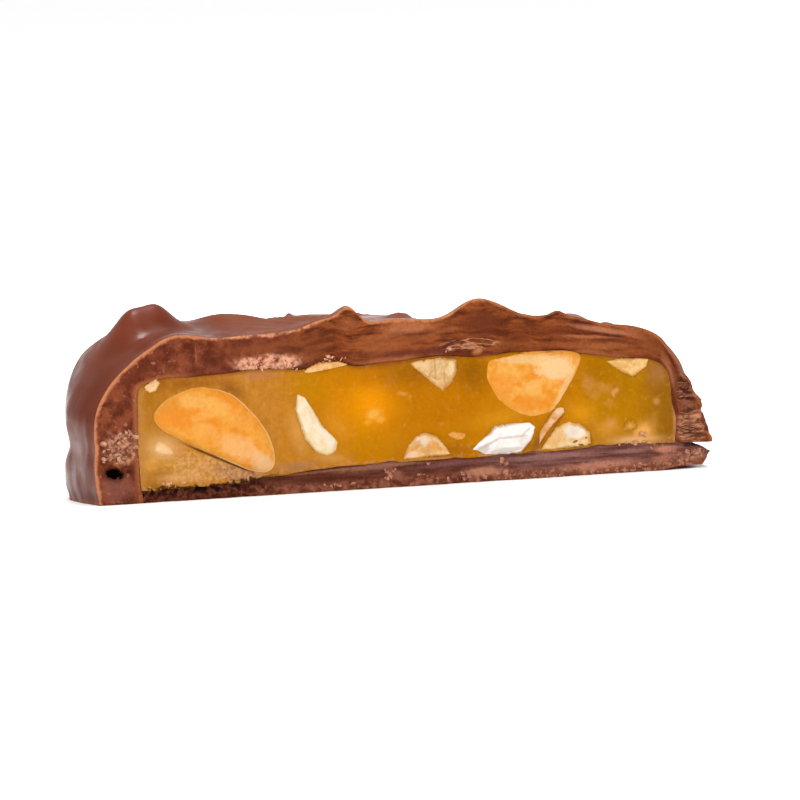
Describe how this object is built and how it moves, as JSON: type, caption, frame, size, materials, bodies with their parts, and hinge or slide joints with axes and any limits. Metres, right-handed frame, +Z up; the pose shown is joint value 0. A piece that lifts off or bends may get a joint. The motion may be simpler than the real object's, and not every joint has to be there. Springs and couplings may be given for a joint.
{
  "type": "peanut caramel patty half",
  "caption": "Half of a lumpy milk chocolate patty, its cut face showing a caramel slab with peanut pieces on a chocolate base.",
  "frame": {"origin": "on the surface that the half rests on, under the middle of its bounding box", "axes": "+X along the cut to the right as the cut face is looked at, +Y from the cut face into the patty, +Z up"},
  "size_m": [0.0636, 0.0352, 0.019],
  "materials": {
    "milk_chocolate": "satin milk chocolate, duller and streaked where it is cut",
    "base_chocolate": "dull chocolate, dragged by the knife, with pale crumbs",
    "caramel": "translucent soft caramel with a moist cut face",
    "roast_peanut": "roasted peanut, satin",
    "pale_peanut": "broken peanut, pale and dull"
  },
  "bodies": {
    "root": {"chocolate_coat": "milk_chocolate", "chocolate_base": "base_chocolate", "caramel_filling": "caramel", "peanut_half_left": "roast_peanut", "peanut_half_right": "roast_peanut", "peanut_sliver_middle": "pale_peanut", "peanut_wedge_top": "pale_peanut", "peanut_flake_top": "pale_peanut", "peanut_flake_right": "pale_peanut", "peanut_chunk_low": "pale_peanut", "peanut_piece_white": "pale_peanut", "peanut_sliver_skin": "pale_peanut", "peanut_chunk_right": "pale_peanut"}
  },
  "joints": []
}
